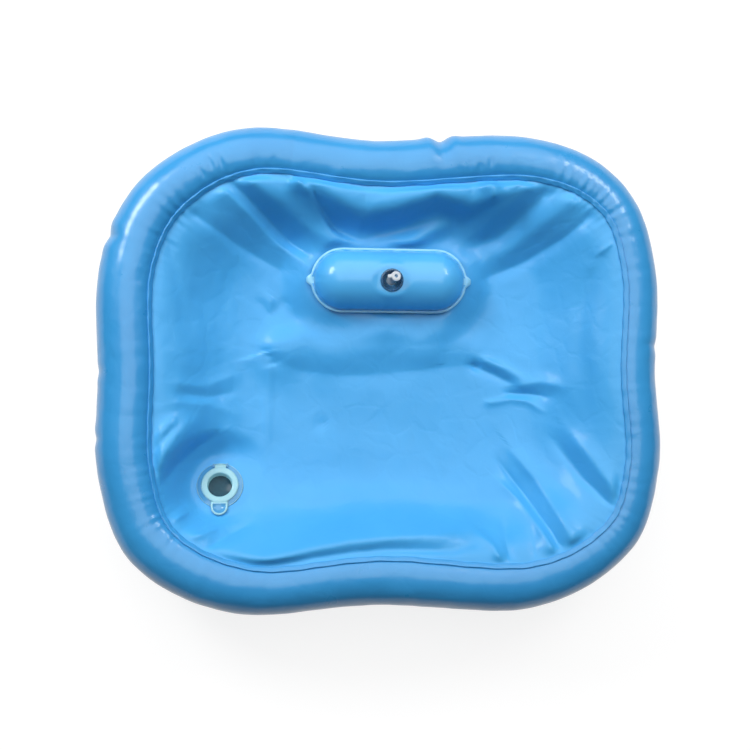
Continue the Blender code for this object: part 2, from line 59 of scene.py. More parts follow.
def linear(colour):
    """An sRGB hex colour as linear light."""
    parts = [int(colour[start:start + 2], 16) / 255 for start in (1, 3, 5)]
    return [part / 12.92 if part <= 0.04045 else ((part + 0.055) / 1.055) ** 2.4 for part in parts] + [1]


def add_node(tree, kind, options=None, values=None, links=None):
    """Adds one node with its options, the values of its sockets, and the outputs that feed it."""
    node = tree.nodes.new(kind)
    for option, value in (options or {}).items():
        setattr(node, option, value)
    for socket, value in (values or {}).items():
        node.inputs[socket].default_value = value
    for socket, output in (links or {}).items():
        tree.links.new(output, node.inputs[socket])
    return node


def new_material(name):
    """An empty material: its node tree and its shader."""
    material = bpy.data.materials.new(name)
    material.use_nodes = True
    return material, material.node_tree, material.node_tree.nodes["Principled BSDF"]


def aimed(place, target):
    """The matrix of something that stands at a place, level, and looks at a target."""
    back = (place - target).normalized()
    right = Vector((0, 1, 0)).cross(back).normalized()
    turn = Matrix((right, back.cross(right), back)).transposed()
    return Matrix.Translation(place) @ turn.to_4x4()


camera_data = bpy.data.cameras.new("camera")
camera_data.lens = 48
camera_data.sensor_width = 36
camera_data.shift_x = -0.002
camera_data.shift_y = -0.00533
camera = bpy.data.objects.new("camera", camera_data)
camera.matrix_world = aimed(camera_place, camera_target)
bpy.context.scene.collection.objects.link(camera)
bpy.context.scene.camera = camera
bpy.context.scene.view_settings.view_transform = "Standard"

# Matt white card: the floor shows nearly white, and keeps the basin's shadow.
floor_white, tree, shader = new_material("matt_white_card")
grain = add_node(tree, "ShaderNodeTexNoise", values={"Scale": 40.0, "Detail": 3.0})
tint = add_node(
    tree, "ShaderNodeMapRange",
    values={"To Min": 0.25, "To Max": 0.28}, links={"Value": grain.outputs["Fac"]},
)
tree.links.new(tint.outputs["Result"], shader.inputs["Base Color"])
shader.inputs["Roughness"].default_value = 0.9
shader.inputs["Specular IOR Level"].default_value = 0.1
seen = add_node(tree, "ShaderNodeLightPath")
seen_in_gloss = add_node(
    tree, "ShaderNodeMath", {"operation": "MAXIMUM"},
    links={0: seen.outputs["Is Camera Ray"], 1: seen.outputs["Is Glossy Ray"]},
)
seen_through = add_node(
    tree, "ShaderNodeMath", {"operation": "MAXIMUM"},
    links={0: seen_in_gloss.outputs[0], 1: seen.outputs["Is Transmission Ray"]},
)
lift = add_node(
    tree, "ShaderNodeMath", {"operation": "MULTIPLY"}, {1: floor_glow}, {0: seen_through.outputs[0]},
)
shader.inputs["Emission Color"].default_value = (1, 1, 1, 1)
tree.links.new(lift.outputs[0], shader.inputs["Emission Strength"])

bm = bmesh.new()
bmesh.ops.create_grid(bm, x_segments=1, y_segments=1, size=floor_size / 2)
bmesh.ops.translate(bm, verts=bm.verts, vec=(0, 0, -floor_gap))
floor_mesh = bpy.data.meshes.new("studio_floor")
bm.to_mesh(floor_mesh)
bm.free()
floor_mesh.materials.append(floor_white)
studio_floor = bpy.data.objects.new("studio_floor", floor_mesh)
bpy.context.scene.collection.objects.link(studio_floor)

world = bpy.data.worlds.new("studio_air")
world.use_nodes = True
world.node_tree.nodes["Background"].inputs["Color"].default_value = (0.93, 0.97, 1.0, 1)
world.node_tree.nodes["Background"].inputs["Strength"].default_value = 0.04
bpy.context.scene.world = world

for name, place, width, depth, power in (
    ("soft_box_overhead", (0.00, 1.15, 2.1), 2.6, 3.6, 63.0),
    ("soft_key_left", (-1.00, 0.76, 0.98), 0.34, 0.50, 10.5),
    ("soft_lamp_right", (0.84, 0.76, 1.10), 0.22, 0.50, 4.5),
):
    lamp = bpy.data.lights.new(name, "AREA")
    lamp.shape = "RECTANGLE"
    lamp.size = width
    lamp.size_y = depth
    lamp.energy = power
    holder = bpy.data.objects.new(name, lamp)
    holder.matrix_world = aimed(Vector(place), lamp_target)
    bpy.context.scene.collection.objects.link(holder)


# The lower ring
# An airtight tube of blue PVC film, blown up to 64 mm. It is the first ring to be laid down, so its
# underside is pressed flat on the table, and its top is welded to the ring above.
ring_length = 0.610
ring_width = 0.518
tube_radius = 0.032
film = 0.0005
clearance = 0.0003
joint_width = 0.016
joint_thickness = 0.0010
ring_plan = [
    (0.98, -0.01), (0.99, 0.47), (0.88, 0.82), (0.56, 0.99),
    (-0.04, 0.95), (-0.54, 0.99), (-0.85, 0.80), (-0.99, 0.46),
    (-0.99, -0.01), (-0.985, -0.47), (-0.87, -0.81), (-0.54, -0.99),
    (-0.04, -0.955), (0.54, -0.99), (0.88, -0.79), (0.99, -0.46),
]
steps_per_span = 60
tube_steps = 72
flat_angle = math.asin(joint_width / 2 / tube_radius)
lower_height = tube_radius * math.cos(flat_angle)
joint_base = 2 * lower_height + clearance
upper_height = joint_base + joint_thickness + clearance + lower_height


def closed_curve(points, steps):
    """A smooth closed curve through the points, with that many steps from each to the next."""
    points = np.array(points)
    before, after, beyond = (np.roll(points, shift, 0) for shift in (1, -1, -2))
    spans = []
    for t in np.arange(steps) / steps:
        straight = 2 * points + (after - before) * t
        bend = (2 * before - 5 * points + 4 * after - beyond) * t**2
        twist = (3 * points - before - 3 * after + beyond) * t**3
        spans.append((straight + bend + twist) / 2)
    return np.stack(spans, 1).reshape(-1, points.shape[1])


def smooth(share):
    """0 below 0, 1 above 1, and a soft rise between them."""
    share = np.clip(share, 0, 1)
    return share * share * (3 - 2 * share)


def ripple(points, wavelength, seed):
    """Soft uneven waves of about that length all over some points, mostly from -1 to 1."""
    draw = np.random.default_rng(seed)
    waves = np.zeros(points.shape[:-1])
    for _ in range(14):
        direction = draw.normal(size=points.shape[-1])
        direction /= np.linalg.norm(direction)
        length = wavelength * draw.uniform(0.7, 1.6)
        waves += np.sin(points @ direction * math.tau / length + draw.uniform(0, math.tau))
    return waves / 3.7


corners = closed_curve(ring_plan, 3)
low, high = corners.min(0), corners.max(0)
half_sides = np.array([ring_length, ring_width]) / 2 - tube_radius
centre_line = (2 * closed_curve(ring_plan, steps_per_span) - low - high) / (high - low) * half_sides
along = np.roll(centre_line, -1, 0) - np.roll(centre_line, 1, 0)
along /= np.linalg.norm(along, axis=1, keepdims=True)
outward = np.stack([along[:, 1], -along[:, 0]], 1)
heading = np.arctan2(outward[:, 1], outward[:, 0])
turning = np.linspace(0, math.tau, len(centre_line), endpoint=False)


def on_tube(angles, radii, height):
    """Points round each section of a ring, at angles from its crest towards the inside."""
    angles, radii = np.broadcast_arrays(angles, radii)
    plan = centre_line[:, None] - outward[:, None] * (radii * np.sin(angles))[..., None]
    rise = np.broadcast_to((height + radii * np.cos(angles))[..., None], plan.shape[:-1] + (1,))
    return np.concatenate([plan, rise], -1)


def skin(name, points, close_rows=True, close_columns=True):
    """A sheet of four-sided faces laid over rows of points, joined end to end where it closes."""
    if close_rows:
        points = np.concatenate([points, points[:1]], 0)
    if close_columns:
        points = np.concatenate([points, points[:, :1]], 1)
    rows, columns = points.shape[:2]
    bm = bmesh.new()
    bmesh.ops.create_grid(bm, x_segments=columns - 1, y_segments=rows - 1, size=0.5)
    for vert in bm.verts:
        row = round((vert.co.y + 0.5) * (rows - 1))
        column = round((vert.co.x + 0.5) * (columns - 1))
        vert.co = points[row, column]
    bmesh.ops.remove_doubles(bm, verts=bm.verts, dist=0.000002)
    bmesh.ops.recalc_face_normals(bm, faces=bm.faces)
    return bm


def finish_piece(name, bm, material, body, nodes=(), wall=0.0, round_off=0.0):
    """Makes an object of a mesh: its wall or rounded edges, its material, and what it rides on."""
    mesh = bpy.data.meshes.new(name)
    bm.to_mesh(mesh)
    bm.free()
    mesh.shade_smooth()
    mesh.materials.append(material)
    piece = bpy.data.objects.new(name, mesh)
    bpy.context.scene.collection.objects.link(piece)
    if round_off:
        bevel = piece.modifiers.new("rounded_edges", "BEVEL")
        bevel.width = round_off
        bevel.segments = 3
        bevel.limit_method = "ANGLE"
        bevel.angle_limit = math.radians(35)
    if wall:
        thick = piece.modifiers.new("film", "SOLIDIFY")
        thick.thickness = wall
        thick.offset = -1
    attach(piece, body)
    if nodes:
        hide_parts(*nodes)
    return piece


def soft_pvc_film(name, colour, cloud, roughness, crease_depth, coat, shine):
    """Calendered soft PVC film: glossy, faintly cloudy, with orange peel and fine handling creases."""
    material, tree, shader = new_material(name)
    place = add_node(tree, "ShaderNodeTexCoord").outputs["Object"]
    # The film's thickness wanders over some 80 mm, which clouds its colour
    thickness = add_node(
        tree, "ShaderNodeTexNoise", values={"Scale": 12.0, "Detail": 3.0}, links={"Vector": place},
    )
    colours = add_node(tree, "ShaderNodeValToRGB", links={"Fac": thickness.outputs["Fac"]})
    colours.color_ramp.elements[0].position = 0.30
    colours.color_ramp.elements[0].color = linear(cloud)
    colours.color_ramp.elements[1].position = 0.70
    colours.color_ramp.elements[1].color = linear(colour)
    tree.links.new(colours.outputs["Color"], shader.inputs["Base Color"])
    rub = add_node(
        tree, "ShaderNodeTexNoise", values={"Scale": 45.0, "Detail": 4.0}, links={"Vector": place},
    )
    dull = add_node(
        tree, "ShaderNodeMapRange", links={"Value": rub.outputs["Fac"]},
        values={"From Min": 0.3, "From Max": 0.7, "To Min": roughness, "To Max": roughness + 0.09},
    )
    tree.links.new(dull.outputs["Result"], shader.inputs["Roughness"])
    # Orange peel: real pitch about 1 mm, drawn at 3 mm so that it shows at all
    peel = add_node(
        tree, "ShaderNodeTexNoise", values={"Scale": 330.0, "Detail": 1.0}, links={"Vector": place},
    )
    peel_bump = add_node(
        tree, "ShaderNodeBump", values={"Strength": 0.25, "Distance": 0.00008},
        links={"Height": peel.outputs["Fac"]},
    )
    # Handling creases: a network of short soft lines some 25 mm across
    creases = add_node(
        tree, "ShaderNodeTexVoronoi", {"feature": "DISTANCE_TO_EDGE"}, {"Scale": 34.0, "Randomness": 1.0},
        {"Vector": add_node(
            tree, "ShaderNodeVectorMath", {"operation": "MULTIPLY_ADD"}, {1: (0.02, 0.02, 0.02)},
            {0: rub.outputs["Color"], 2: place},
        ).outputs["Vector"]},
    )
    edge = add_node(
        tree, "ShaderNodeMapRange", {"interpolation_type": "SMOOTHSTEP"},
        {"From Min": 0.0, "From Max": 0.16},
        {"Value": creases.outputs["Distance"]},
    )
    crease_bump = add_node(
        tree, "ShaderNodeBump", values={"Strength": 0.5, "Distance": crease_depth},
        links={"Height": edge.outputs["Result"], "Normal": peel_bump.outputs["Normal"]},
    )
    tree.links.new(crease_bump.outputs["Normal"], shader.inputs["Normal"])
    shader.inputs["IOR"].default_value = 1.53
    shader.inputs["Specular IOR Level"].default_value = shine
    shader.inputs["Coat Weight"].default_value = coat
    shader.inputs["Coat Roughness"].default_value = 0.14
    return material


# The rings take a darker copy of the same blue film as the liner and pillow: painted shade that dims the
# tubes.
ring_film = soft_pvc_film(
    "sky_blue_ring_film", "#3a9ad8", "#3492d0", roughness=0.27, crease_depth=0.00016, coat=0.30, shine=0.45,
)


def valve_on_ring(which):
    """The frame of a ring's valve, from its joints: Z out of the flange, X along the ring."""
    joints = {joint["name"]: joint for joint in frame["joints"]}
    out = Vector(joints[which + "_stem_pull"]["axis"]).normalized()
    strap = joints[which + "_cap_strap"]
    across = -Vector(strap["axis"]).normalized()
    forward = across.cross(out)
    stowed_hinge = Vector((-strap_reach, 0, stowed_top - clearance))
    turn = Matrix((forward, across, out)).transposed()
    origin = Vector(strap["pos_m"]) - turn @ stowed_hinge
    return Matrix.Translation(origin) @ turn.to_4x4()


strap_reach = 0.0080
flange_thickness = 0.0010
cap_thickness = 0.0016
valve_rim = clearance + flange_thickness
stowed_top = valve_rim - cap_thickness - clearance
valve_hole = 0.0117
valve_flat = 0.0135
seat_depth = 0.015
ring_seat_blend = 0.008


def seat_valve(bm, matrix, blend):
    """Draws the film flat under a valve's flange, and opens the hole for its well."""
    inverse = matrix.inverted()
    inside = []
    for vert in bm.verts:
        local = inverse @ vert.co
        away = math.hypot(local.x, local.y)
        if away < valve_flat + blend and local.z > -seat_depth:
            local.z *= float(smooth((away - valve_flat) / blend))
            if away < valve_hole:
                inside.append((vert, local, away))
            else:
                vert.co = matrix @ local
    lost = {vert for vert, _, _ in inside}
    for vert, local, away in inside:
        if all(corner in lost for face in vert.link_faces for corner in face.verts):
            continue
        stretch = valve_hole / max(away, 0.0001)
        vert.co = matrix @ Vector((local.x * stretch, local.y * stretch, local.z))
    gone = [face for face in bm.faces if all(corner in lost for corner in face.verts)]
    bmesh.ops.delete(bm, geom=gone, context="FACES")


tube_angles = np.linspace(0, math.tau, tube_steps, endpoint=False)[None, :]
even_tube = on_tube(tube_angles, tube_radius, lower_height)
lower_radius = tube_radius + 0.00035 * ripple(even_tube, wavelength=0.085, seed=11)
lower_points = on_tube(tube_angles, lower_radius, lower_height)
lower_points[..., 2] = np.clip(lower_points[..., 2], 0, 2 * lower_height)
lower_ring = skin("lower_ring", lower_points)
seat_valve(lower_ring, valve_on_ring("lower"), ring_seat_blend)
finish_piece("lower_ring", lower_ring, ring_film, "basin", ["lower_tube"], film)


# The joint between the rings
# A strip of the same film, 16 mm wide, welded hot between the two rings so that they stand as one.
def welded_film(name, colour, press):
    """Film pressed in a welding tool: deeper in colour, duller, with the tool's fine cross ribs."""
    material, tree, shader = new_material(name)
    place = add_node(tree, "ShaderNodeTexCoord").outputs["Object"]
    cloud = add_node(
        tree, "ShaderNodeTexNoise", values={"Scale": 60.0, "Detail": 3.0}, links={"Vector": place},
    )
    colours = add_node(tree, "ShaderNodeValToRGB", links={"Fac": cloud.outputs["Fac"]})
    colours.color_ramp.elements[0].color = linear(press)
    colours.color_ramp.elements[1].color = linear(colour)
    tree.links.new(colours.outputs["Color"], shader.inputs["Base Color"])
    ribs = add_node(
        tree, "ShaderNodeTexNoise", values={"Scale": 700.0, "Detail": 1.0}, links={"Vector": place},
    )
    bump = add_node(
        tree, "ShaderNodeBump", values={"Strength": 0.4, "Distance": 0.0001},
        links={"Height": ribs.outputs["Fac"]},
    )
    tree.links.new(bump.outputs["Normal"], shader.inputs["Normal"])
    shader.inputs["Roughness"].default_value = 0.30
    shader.inputs["IOR"].default_value = 1.53
    return material


weld_film = welded_film("welded_blue_film", "#429fdd", "#3390cf")
half_joint = joint_width / 2
joint_rows = [
    np.column_stack([centre_line + outward * out, np.full(len(centre_line), joint_base + rise)])
    for out, rise in (
        (-half_joint, 0.0), (half_joint, 0.0),
        (half_joint, joint_thickness), (-half_joint, joint_thickness),
    )
]
ring_joint = skin("ring_joint", np.stack(joint_rows, 1))
finish_piece("ring_joint", ring_joint, weld_film, "basin", ["tube_joint_strip"])


# The upper ring
# The same tube again, on top of the first. The liner is welded to its inner shoulder, and the weld
# draws puckers into the film; the neck side has a sharp crease where the tube is kinked.
seam_angle = math.radians(37)
seam_roll = math.radians(15)
seam_roll_direction = math.radians(172)
seam = (seam_angle + seam_roll * np.cos(heading - seam_roll_direction))[:, None]
groove_depth = 0.0009
groove_width = 0.0045
pucker_length = 0.016
pucker_start = 0.004
# Kinks across the tube: place of the outer edge in plan, depth, half width along the ring,
# the angle in degrees round the tube where it is deepest, and how far round it runs
kinks = [
    ((0.060, 0.259), 0.0085, 0.0070, 300, 80),
    ((-0.296, 0.140), 0.0035, 0.0070, 290, 50),
    ((-0.305, -0.005), 0.0016, 0.0050, 280, 40),
    ((-0.305, -0.075), 0.0016, 0.0050, 280, 40),
    ((0.303, 0.026), 0.0014, 0.0050, 300, 60),
    ((0.020, 0.259), 0.0016, 0.0090, 340, 50),
    ((-0.095, 0.259), 0.0014, 0.0080, 345, 50),
    ((0.040, 0.2590), 0.0015, 0.0026, 20, 18),
    ((0.051, 0.2590), 0.0020, 0.0026, 24, 18),
    ((0.074, 0.2590), 0.0018, 0.0026, 22, 16),
    ((0.086, 0.2592), 0.0014, 0.0024, 14, 16),
    ((0.098, 0.2594), 0.0017, 0.0026, 18, 16),
    ((0.110, 0.2596), 0.0014, 0.0026, 10, 16),
    ((-0.039, 0.2570), 0.0011, 0.0026, 14, 14),
    ((-0.119, 0.2580), 0.0011, 0.0028, 18, 14),
    ((-0.188, 0.2480), 0.0013, 0.0028, 10, 18),
    ((-0.200, 0.2430), 0.0014, 0.0028, 4, 20),
    ((-0.214, 0.2370), 0.0012, 0.0028, 14, 16),
]

pucker_wave = (
    np.sin(91 * turning + 2.6 * np.sin(5 * turning + 1.0))
    + 0.7 * np.sin(137 * turning + 3.1 * np.sin(7 * turning))
    + 0.5 * np.sin(53 * turning + 1.7 * np.sin(3 * turning + 2.0))
)[:, None] / 2
corner_share = np.abs(np.sin(2 * heading))[:, None]
pucker_height = 0.00030 + 0.00035 * corner_share**2 + 0.0004 * smooth((centre_line[:, 1:] - 0.12) / 0.08)


def upper_skin_radius(angles):
    """The upper tube's radius at angles on each section, with its groove, puckers and kinks."""
    base = on_tube(angles, tube_radius, upper_height)
    away = np.abs((angles - seam + math.pi) % math.tau - math.pi) * tube_radius
    radius = tube_radius + 0.00045 * ripple(base, wavelength=0.095, seed=4)
    radius = radius + 0.00012 * ripple(base, wavelength=0.022, seed=5)
    radius = radius - groove_depth * np.exp(-((away / groove_width) ** 2))
    fading = np.exp(-away / pucker_length) * smooth(away / pucker_start)
    radius = radius + pucker_height * pucker_wave * fading
    for place, depth, half_width, middle, spread in kinks:
        gap = np.linalg.norm(centre_line + outward * tube_radius - np.array(place), axis=1)[:, None]
        round_way = np.abs((np.degrees(angles) - middle + 180) % 360 - 180)
        window = smooth(1 - (round_way / spread)) ** 0.7
        radius = radius - depth * np.exp(-((gap / half_width) ** 1.25)) * window
        radius = radius + 0.22 * depth * np.exp(-(((gap - 2.1 * half_width) / half_width) ** 2)) * window
    return radius


upper_points = on_tube(tube_angles, upper_skin_radius(tube_angles), upper_height)
upper_points[..., 2] = np.maximum(upper_points[..., 2], joint_base + joint_thickness + clearance)
upper_ring = skin("upper_ring", upper_points)
seat_valve(upper_ring, valve_on_ring("upper"), ring_seat_blend)
finish_piece("upper_ring", upper_ring, ring_film, "basin", ["upper_tube"], film)


# The liner
# One sheet of film, cut as a rounded oblong, welded round its edge to the upper ring and hung as a
# bowl. It gathers into folds at the corners, and lies flat under the pillow and the drain.
liner_depth = 0.062
floor_height = upper_height + tube_radius * math.cos(seam_angle) - liner_depth
weld_width = 0.0055
weld_half_angle = weld_width / 2 / tube_radius
fall_places = [0, 0.04, 0.08, 0.125, 0.175, 0.23, 0.30, 0.40, 0.53, 0.70, 1.0]
falls = [0, 0.05, 0.13, 0.26, 0.44, 0.62, 0.79, 0.91, 0.97, 1.0, 1.0]
liner_rows = 70
pillow_place_shares = (0.024, 0.385)
pillow_rise = 0.013
pillow_tilt = math.radians(7)
pillow_rest_straight = 0.051
pillow_rest_reach = 0.0355
pillow_lip = 0.0035
lip_width = 0.008
drain_place_shares = (-0.576, -0.485)
drain_rise = 0.011
drain_tilt = math.radians(-20)
drain_rest_reach = 0.0270
drain_bore = 0.0156
neck_wall = 0.0014
drain_hole = drain_bore + neck_wall + clearance
drain_hole_depth = 0.01
rest_blend = 0.036
fold_start_share = 0.045
rim_shape_share = 0.018
sheet_wave = 0.0005
sheet_crumple = 0.0002
pleat_height = 0.0003
millimetres = 1000

# Folds of the liner, in millimetres: the places that each runs through from the rim inwards, its
# widths on the left and the right of that way, its height (a valley is below zero) and its
# crispness, from 1 for a crease to 2 for a soft roll
neck_folds = [
    ([(-152, 201), (-114, 176), (-77, 151), (-46, 138)], 16, 11, 11.0, 1.8),
    ([(-173, 204), (-138, 174), (-103, 143), (-82, 128)], 8, 4, -6.0, 1.3),
    ([(-187, 197), (-148, 166), (-114, 136), (-88, 120)], 5, 15, 6.0, 1.6),
    ([(-218, 170), (-192, 155), (-156, 134), (-112, 112)], 9, 6, -3.5, 1.5),
    ([(-98, 203), (-80, 190), (-66, 170), (-52, 155), (-28, 144)], 8, 5, -8.0, 1.4),
    ([(-86, 188), (-74, 172), (-58, 152), (-42, 142)], 5, 10, 4.5, 1.5),
    ([(-92, 196), (-58, 180), (-24, 164), (12, 172), (54, 186), (92, 178), (134, 194)], 21, 9, 16.0, 1.8),
    ([(-6, 152), (24, 158), (56, 170), (92, 164)], 8, 8, -5.0, 1.7),
    ([(24, 138), (48, 150), (74, 162)], 12, 8, 9.0, 1.8),
    ([(106, 207), (114, 190), (119, 178)], 10, 9, 10.0, 1.9),
    ([(161, 208), (139, 185), (118, 168), (104, 154)], 11, 14, 8.0, 1.9),
    ([(183, 200), (160, 176), (130, 149), (98, 139)], 9, 9, -4.5, 1.7),
    ([(212, 191), (184, 168), (145, 139), (116, 125)], 11, 14, 5.5, 1.9),
    ([(230, 173), (201, 147), (159, 122), (120, 107)], 8, 7, -4.5, 1.5),
    ([(246, 137), (232, 125), (226, 106)], 3, 6, 3.0, 1.2),
    ([(230, 120), (220, 68), (218, 12), (224, -55)], 9, 9, -2.5, 1.8),
    ([(-233, 141), (-219, 84), (-210, 31)], 9, 9, -2.0, 1.8),
]
drain_side_folds = [
    ([(-254, -124), (-237, -98), (-218, -72), (-198, -50)], 13, 12, 9.5, 1.9),
    ([(-251, -156), (-240, -131), (-221, -104), (-203, -86), (-180, -70)], 8, 6, -6.5, 1.4),
    ([(-248, -83), (-231, -64), (-219, -50)], 6, 7, 3.5, 1.5),
    ([(-247, -94), (-230, -74), (-218, -60)], 4, 4, -2.5, 1.3),
    ([(-240, -170), (-223, -160), (-208, -152)], 6, 5, 6.0, 1.5),
    ([(-222, -188), (-196, -174), (-172, -166)], 7, 6, 7.0, 1.6),
    ([(-200, -195), (-176, -182), (-142, -166)], 6, 6, -6.0, 1.4),
    ([(-218, -17), (-193, -20), (-161, -6)], 7, 7, 1.8, 1.6),
    ([(-212, -28), (-188, -30), (-162, -24)], 5, 5, -1.5, 1.5),
    ([(-220, -37), (-185, -39), (-162, -49)], 6, 7, 2.0, 1.6),
    ([(-122, 78), (-121, 12), (-124, -33), (-125, -106)], 3, 7, 1.8, 1.3),
    ([(-66, -59), (-60, -59)], 7, 7, -1.5, 1.6),
]
front_folds = [
    ([(-170, -208), (-142, -204), (-106, -194), (-69, -186), (-38, -181), (15, -177), (58, -176),
      (88, -171)], 14, 9, 9.5, 1.8),
    ([(-132, -211), (-90, -203), (-38, -196), (14, -193), (68, -193), (97, -187)], 6, 5, -4.0, 1.5),
    ([(-78, -136), (30, -132), (141, -136)], 12, 12, 1.4, 1.8),
    ([(203, -193), (184, -150), (170, -119), (146, -86)], 8, 14, 8.0, 1.6),
    ([(191, -199), (174, -167), (156, -134), (133, -100)], 4, 5, -4.5, 1.3),
    ([(181, -204), (168, -174), (151, -143), (130, -121)], 8, 4, 4.5, 1.4),
    ([(249, -138), (227, -104), (203, -65)], 8, 11, 6.5, 1.6),
    ([(241, -146), (217, -118), (193, -76)], 5, 6, -4.5, 1.4),
    ([(133, -207), (131, -184), (135, -163)], 5, 5, -3.5, 1.4),
    ([(160, -207), (158, -190), (162, -170)], 5, 5, -3.0, 1.4),
    ([(122, -207), (114, -188), (97, -173)], 6, 5, 4.5, 1.5),
]
# The film under the pillow is stiff, so it stands out below the pillow as a step with pinched ends
step_folds = [
    ([(-110, 26), (-86, 34), (-60, 25), (-24, 30), (8, 37), (42, 31), (70, 38), (101, 24)],
     20, 29, 10.5, 2.1),
    ([(-113, 9), (-90, 0), (-45, -5), (0, -4), (44, 2), (84, 6), (108, 7)], 9, 9, -1.5, 1.6),
    ([(-123, 16), (-118, 5)], 6, 6, -5.0, 1.1),
    ([(-133, 74), (-123, 60)], 5, 5, -1.6, 1.4),
    ([(-106, 76), (-123, 60), (-122, 30)], 5, 5, -1.6, 1.4),
    ([(105, 9), (113, 5)], 5, 5, -5.5, 1.1),
    ([(110, 5), (132, -4), (152, -15)], 4, 8, -4.5, 1.3),
    ([(118, 12), (140, 3), (158, -8)], 6, 5, 3.5, 1.5),
    ([(146, -24), (168, -25), (186, -28)], 5, 5, -4.5, 1.3),
    ([(158, -15), (178, -12), (200, -18)], 9, 7, 4.0, 1.6),
    ([(122, -35), (146, -31), (165, -33), (180, -44)], 3, 4, 2.8, 1.3),
]


def seat_frame(place_shares, rise, tilt):
    """A seat's frame in the bowl: shares of the ring's half sides, its height off the floor, its tilt."""
    x, y = place_shares[0] * ring_length / 2, place_shares[1] * ring_width / 2
    return Matrix.Translation((x, y, floor_height + rise)) @ Matrix.Rotation(tilt, 4, "X")


def through(places, values, share):
    """A smooth rise through values at places, without overshoot."""
    places, values = np.array(places), np.array(values)
    slopes = np.diff(values) / np.diff(places)
    inner = 2 * slopes[1:] * slopes[:-1] / np.maximum(slopes[1:] + slopes[:-1], 1e-9)
    ends = np.concatenate([[slopes[0]], inner, [slopes[-1]]])
    span = np.clip(np.searchsorted(places, share, side="right") - 1, 0, len(slopes) - 1)
    width = places[span + 1] - places[span]
    t = (share - places[span]) / width
    start, end = values[span], values[span + 1]
    return (
        start * (1 + 2 * t) * (1 - t) ** 2 + ends[span] * width * t * (1 - t) ** 2
        + end * t * t * (3 - 2 * t) + ends[span + 1] * width * t * t * (t - 1)
    )


def fold_rise(points):
    """The height in metres that the folds add at each point."""
    rise = np.zeros(points.shape[:-1])
    for places, left_width, right_width, height, crispness in folds:
        route = np.array(places) / millimetres
        spans = np.diff(route, axis=0)
        lengths = np.linalg.norm(spans, axis=1)
        nearest = np.full(points.shape[:-1], np.inf)
        share = np.zeros(points.shape[:-1])
        width = np.ones(points.shape[:-1])
        for start, span, length, run in zip(route, spans, lengths, np.cumsum(lengths) - lengths):
            away = points[..., :2] - start
            t = np.clip(away @ span / length**2, 0, 1)
            aside = np.linalg.norm(away - t[..., None] * span, axis=-1)
            nearer = aside < nearest
            lies_left = span[0] * away[..., 1] - span[1] * away[..., 0] > 0
            nearest = np.where(nearer, aside, nearest)
            share = np.where(nearer, (run + t * length) / lengths.sum(), share)
            width = np.where(nearer, np.where(lies_left, left_width, right_width), width)
        fade = smooth((1.2 - share) / 0.5)
        rise += height / millimetres * fade * np.exp(-((nearest * millimetres / width) ** crispness))
    return rise


def lie_flat(points, seat, half_straight, reach, blend, lip=0):
    """Lays the sheet on a seat's plane, raised by a lip at its reach; returns how free it is."""
    origin, tilt = np.array(seat.translation), np.array(seat.to_3x3().col[2])
    away = points - origin
    plane = origin[2] - (away[..., 0] * tilt[0] + away[..., 1] * tilt[1]) / tilt[2]
    across = np.maximum(np.abs(away[..., 0]) - half_straight, 0)
    beyond = (np.hypot(across, away[..., 1]) - reach) / blend
    plane = plane + lip * smooth(1 + beyond * blend / lip_width)
    points[..., 2] += (plane - points[..., 2]) * (1 - smooth(beyond))
    return smooth(beyond * 5)


pillow_frame = seat_frame(pillow_place_shares, pillow_rise, pillow_tilt)
drain_frame = seat_frame(drain_place_shares, drain_rise, drain_tilt)
folds = neck_folds + drain_side_folds + front_folds + step_folds
edge_lines = []
for side in (-1, 0, 1):
    angle = seam + side * weld_half_angle
    edge_lines.append(on_tube(angle, upper_skin_radius(angle) + clearance + film, upper_height)[:, 0])
rim = edge_lines[-1]
even_rim = on_tube(seam + weld_half_angle, tube_radius + clearance + film, upper_height)
# The rows' shares of the way from the weld to the middle, a little closer near the weld
inward = np.concatenate([[0.012], np.linspace(0.03, 1, liner_rows) ** 1.12])
fall = through(fall_places, falls, inward)
start = even_rim + (rim[:, None] - even_rim) * np.exp(-inward / rim_shape_share)[None, :, None]
sheet = start * (1 - inward[None, :, None])
sheet[..., 2] = start[..., 2] + (floor_height - start[..., 2]) * fall
free = lie_flat(sheet, pillow_frame, pillow_rest_straight, pillow_rest_reach, rest_blend, pillow_lip)
free *= lie_flat(sheet, drain_frame, 0, drain_rest_reach, rest_blend)
free *= smooth(inward / fold_start_share)
rise = fold_rise(sheet) + sheet_wave * ripple(sheet, wavelength=0.055, seed=21)
rise = rise - sheet_crumple * np.abs(ripple(sheet, wavelength=0.024, seed=22))
pleats = np.exp(-inward / 0.035) * smooth(inward / 0.03)
rise_at_rim = pleat_height * (0.3 + corner_share) * pucker_wave * pleats
sheet[..., 2] += rise * free + rise_at_rim
sheet[:, -1] = sheet[:, -1].mean(0)
liner_points = np.concatenate([np.stack(edge_lines, 1), sheet], 1)

